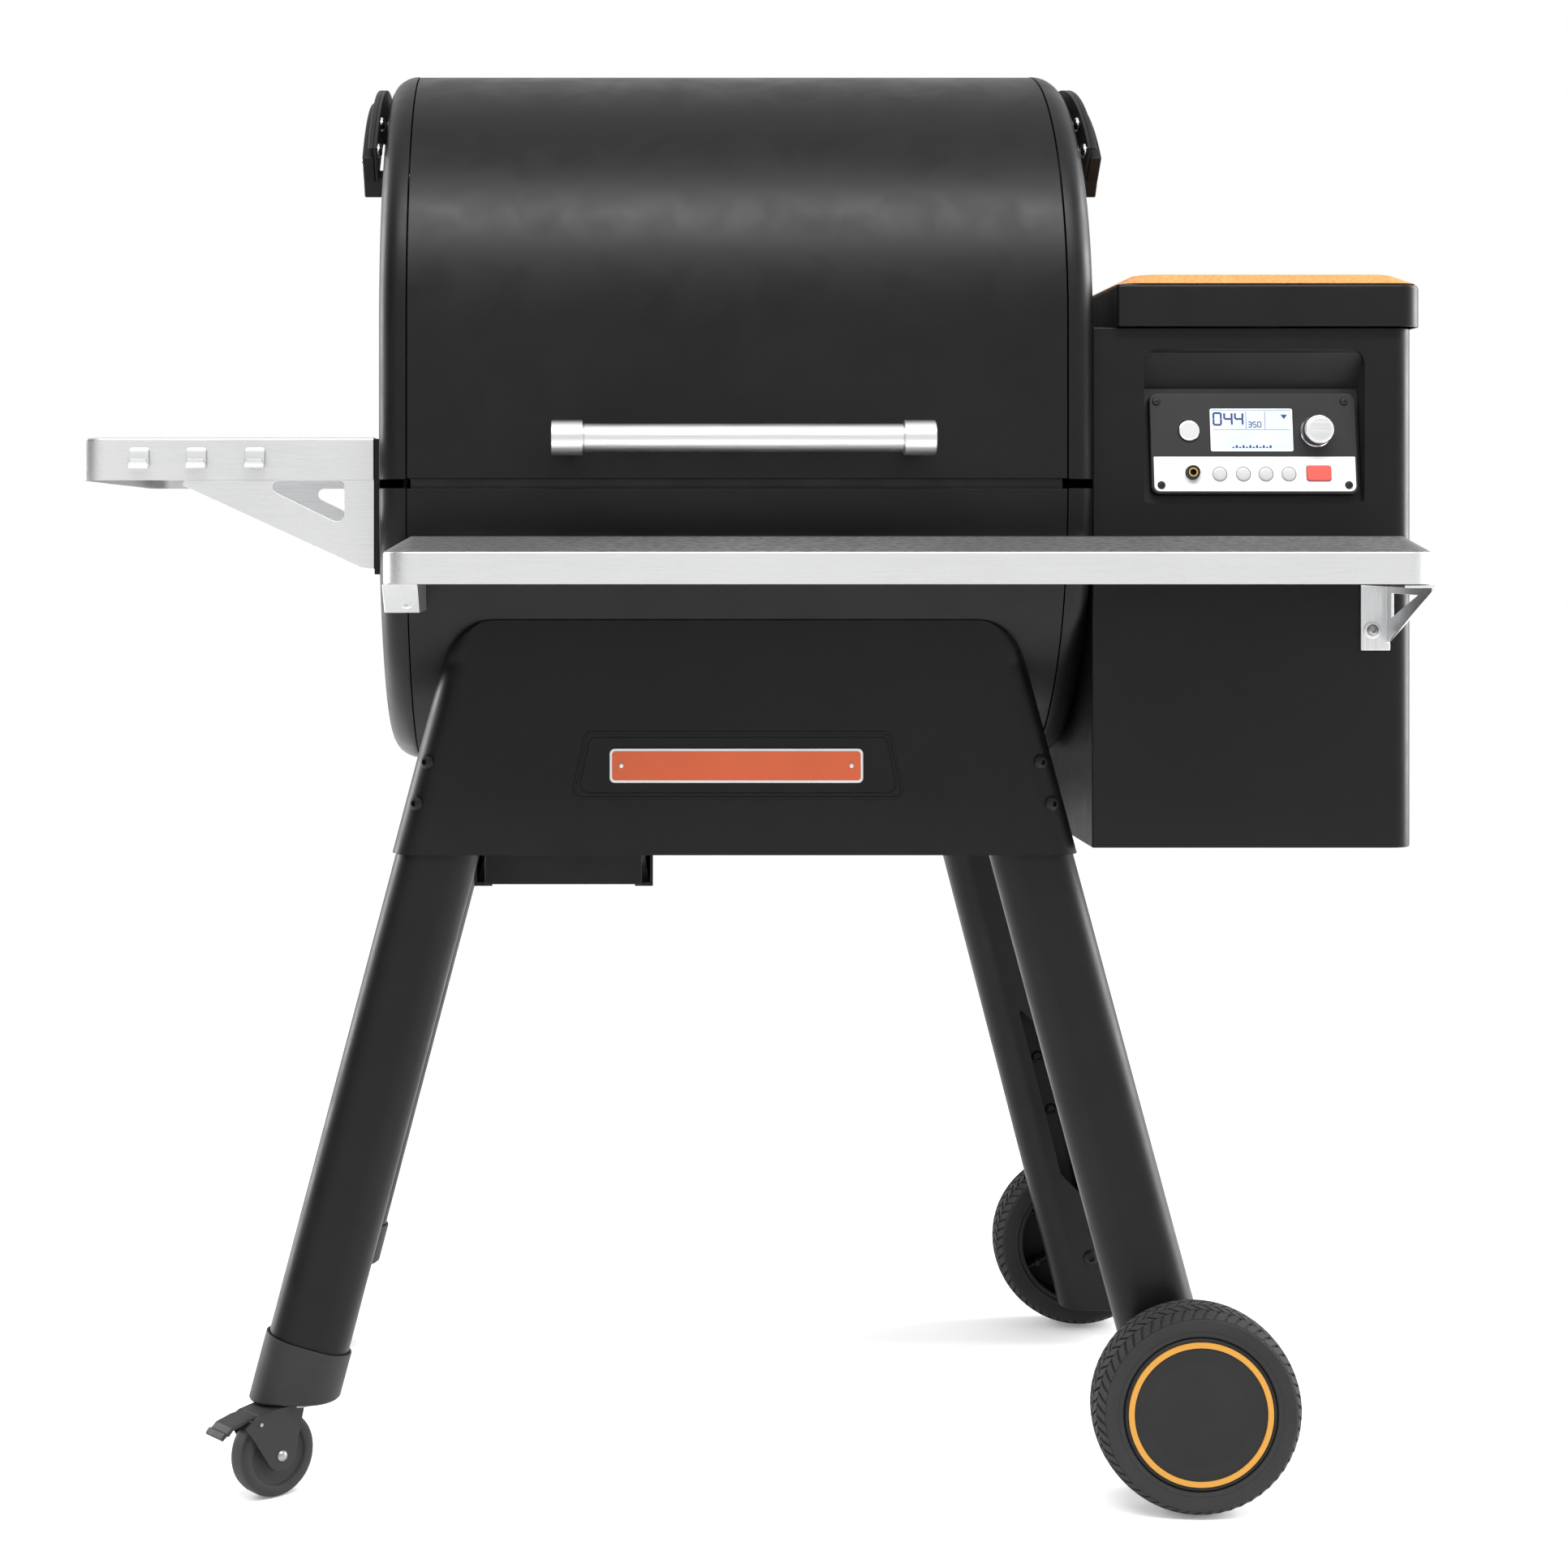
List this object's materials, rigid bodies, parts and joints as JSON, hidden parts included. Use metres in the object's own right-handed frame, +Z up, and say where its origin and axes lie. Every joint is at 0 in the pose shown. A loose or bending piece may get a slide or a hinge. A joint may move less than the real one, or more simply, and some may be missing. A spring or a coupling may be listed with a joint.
{
  "type": "pellet smoker grill",
  "caption": "Free-standing pellet smoker grill with a hinged barrel lid, pellet hopper and controller, folded shelves, splayed legs, wheels and braked casters.",
  "frame": {"origin": "on the floor, under the middle of the whole grill's box", "axes": "+Z up, -Y towards the cook at the front, +X towards the pellet hopper"},
  "size_m": [1.194, 0.703, 1.2805],
  "materials": {
    "black_paint": "satin black powder coat",
    "dark_paint": "matt black powder coat",
    "stainless": "brushed",
    "chrome": "polished",
    "tyre": "moulded rubber",
    "caster_rubber": "moulded rubber",
    "dark_plastic": "fine moulded texture",
    "white_plastic": "satin",
    "red_plastic": "satin",
    "bamboo": "oiled bamboo",
    "grate_enamel": "porcelain enamel",
    "cast_iron": "heat darkened",
    "motor_alloy": "cast alloy",
    "ring_orange": "gloss enamel",
    "display": "lit panel"
  },
  "bodies": {
    "frame": {"body_cap_left": "black_paint", "body_cap_right": "black_paint", "body_shell": "black_paint", "hopper_casing": "black_paint", "side_shelf_mount": "black_paint", "leg_front_left": "black_paint", "leg_front_right": "black_paint", "leg_rear_left": "black_paint", "leg_rear_right": "black_paint", "apron_front": "black_paint", "apron_rear": "black_paint", "exhaust_duct": "black_paint", "drip_tray": "dark_paint", "heat_baffle": "dark_paint", "grease_rack": "dark_paint", "auger_tube": "stainless", "hopper_bin": "stainless", "front_shelf": "stainless", "shelf_bracket_left": "stainless", "shelf_bracket_right": "stainless", "side_shelf": "stainless", "leg_collar_front": "dark_plastic", "leg_collar_rear": "dark_plastic", "controller_bezel": "dark_plastic", "probe_jack": "dark_plastic", "fan_housing": "dark_plastic", "power_inlet": "dark_plastic", "grate_lower": "grate_enamel", "grate_middle": "grate_enamel", "grate_upper": "grate_enamel", "fire_pot": "cast_iron", "auger_motor": "motor_alloy"},
    "lid": {"lid_shell": "black_paint", "lid_cap_left": "black_paint", "lid_cap_right": "black_paint", "hinge_arm_left": "dark_paint", "hinge_arm_right": "dark_paint", "lid_handle": "stainless"},
    "hopper_door": {"hopper_lid": "black_paint"},
    "board": {"cutting_board": "bamboo"},
    "front_wheel": {"tyre_front": "tyre", "hub_front": "dark_plastic"},
    "rear_wheel": {"tyre_rear": "tyre", "hub_rear": "dark_plastic"},
    "front_caster": {"caster_fork_front": "dark_plastic"},
    "rear_caster": {"caster_fork_rear": "dark_plastic"},
    "front_caster_wheel": {"caster_wheel_front": "caster_rubber"},
    "rear_caster_wheel": {"caster_wheel_rear": "caster_rubber"},
    "front_brake": {"brake_pedal_front": "dark_plastic"},
    "rear_brake": {"brake_pedal_rear": "dark_plastic"},
    "knob": {"dial_knob": "chrome"},
    "power": {"power_button": "chrome"},
    "ignite": {"ignite_button": "red_plastic"},
    "menu_1": {"menu_button_1": "white_plastic"},
    "menu_2": {"menu_button_2": "white_plastic"},
    "menu_3": {"menu_button_3": "white_plastic"},
    "menu_4": {"menu_button_4": "white_plastic"},
    "auger": {"auger_screw": "stainless"},
    "fan": {"fan_rotor": "dark_plastic"},
    "grease_drawer": {"grease_box": "dark_paint"}
  },
  "joints": [
    {"name": "lid_hinge", "type": "hinge", "parent": "frame", "child": "lid", "pos_m": [-0.011, 0.184, 1.22], "axis": [-1, 0, 0], "range_deg": [0, 75]},
    {"name": "hopper_lid_hinge", "type": "hinge", "parent": "frame", "child": "hopper_door", "pos_m": [0.461, 0.251, 1.0254], "axis": [-1, 0, 0], "range_deg": [0, 80]},
    {"name": "board_lift", "type": "slide", "parent": "hopper_door", "child": "board", "axis": [0, 0, 1], "range_m": [0, 0.06]},
    {"name": "front_wheel_spin", "type": "hinge", "parent": "frame", "child": "front_wheel", "pos_m": [0.382, -0.27, 0.09], "axis": [0, 1, 0], "continuous": true},
    {"name": "rear_wheel_spin", "type": "hinge", "parent": "frame", "child": "rear_wheel", "pos_m": [0.382, 0.31, 0.09], "axis": [0, 1, 0], "continuous": true},
    {"name": "front_caster_swivel", "type": "hinge", "parent": "frame", "child": "front_caster", "pos_m": [-0.399, -0.212, 0.1], "axis": [0, 0, 1], "continuous": true},
    {"name": "front_caster_roll", "type": "hinge", "parent": "front_caster", "child": "front_caster_wheel", "pos_m": [-0.41823, -0.22797, 0.0375], "axis": [0.6388, -0.7694, 0], "continuous": true},
    {"name": "front_brake_press", "type": "hinge", "parent": "front_caster", "child": "front_brake", "pos_m": [-0.44055, -0.24649, 0.072], "axis": [0.6388, -0.7694, 0], "range_deg": [0, 12]},
    {"name": "rear_caster_swivel", "type": "hinge", "parent": "frame", "child": "rear_caster", "pos_m": [-0.399, 0.252, 0.1], "axis": [0, 0, 1], "continuous": true},
    {"name": "rear_caster_roll", "type": "hinge", "parent": "rear_caster", "child": "rear_caster_wheel", "pos_m": [-0.40334, 0.22738, 0.0375], "axis": [0.9848, -0.1736, 0], "continuous": true},
    {"name": "rear_brake_press", "type": "hinge", "parent": "rear_caster", "child": "rear_brake", "pos_m": [-0.40838, 0.19882, 0.072], "axis": [0.9848, -0.1736, 0], "range_deg": [0, 12]},
    {"name": "dial_turn", "type": "hinge", "parent": "frame", "child": "knob", "pos_m": [0.5053, -0.19546, 0.9329], "axis": [0, -0.9895, 0.1444], "continuous": true},
    {"name": "power_press", "type": "slide", "parent": "frame", "child": "power", "axis": [0, 0.9895, -0.1444], "range_m": [0, 0.001], "stiffness_N_per_m": 300, "springref_m": -0.001},
    {"name": "ignite_press", "type": "slide", "parent": "frame", "child": "ignite", "axis": [0, 0.9895, -0.1444], "range_m": [0, 0.001], "stiffness_N_per_m": 300, "springref_m": -0.001},
    {"name": "menu_1_press", "type": "slide", "parent": "frame", "child": "menu_1", "axis": [0, 0.9895, -0.1444], "range_m": [0, 0.001], "stiffness_N_per_m": 300, "springref_m": -0.001},
    {"name": "menu_2_press", "type": "slide", "parent": "frame", "child": "menu_2", "axis": [0, 0.9895, -0.1444], "range_m": [0, 0.001], "stiffness_N_per_m": 300, "springref_m": -0.001},
    {"name": "menu_3_press", "type": "slide", "parent": "frame", "child": "menu_3", "axis": [0, 0.9895, -0.1444], "range_m": [0, 0.001], "stiffness_N_per_m": 300, "springref_m": -0.001},
    {"name": "menu_4_press", "type": "slide", "parent": "frame", "child": "menu_4", "axis": [0, 0.9895, -0.1444], "range_m": [0, 0.001], "stiffness_N_per_m": 300, "springref_m": -0.001},
    {"name": "auger_spin", "type": "hinge", "parent": "frame", "child": "auger", "pos_m": [0.284, 0.02, 0.69], "axis": [1, 0, 0], "continuous": true},
    {"name": "fan_spin", "type": "hinge", "parent": "frame", "child": "fan", "pos_m": [0.389, 0.12, 0.64], "axis": [1, 0, 0], "continuous": true},
    {"name": "grease_box_slide", "type": "slide", "parent": "frame", "child": "grease_drawer", "axis": [0, -1, 0], "range_m": [0, 0.2]}
  ]
}
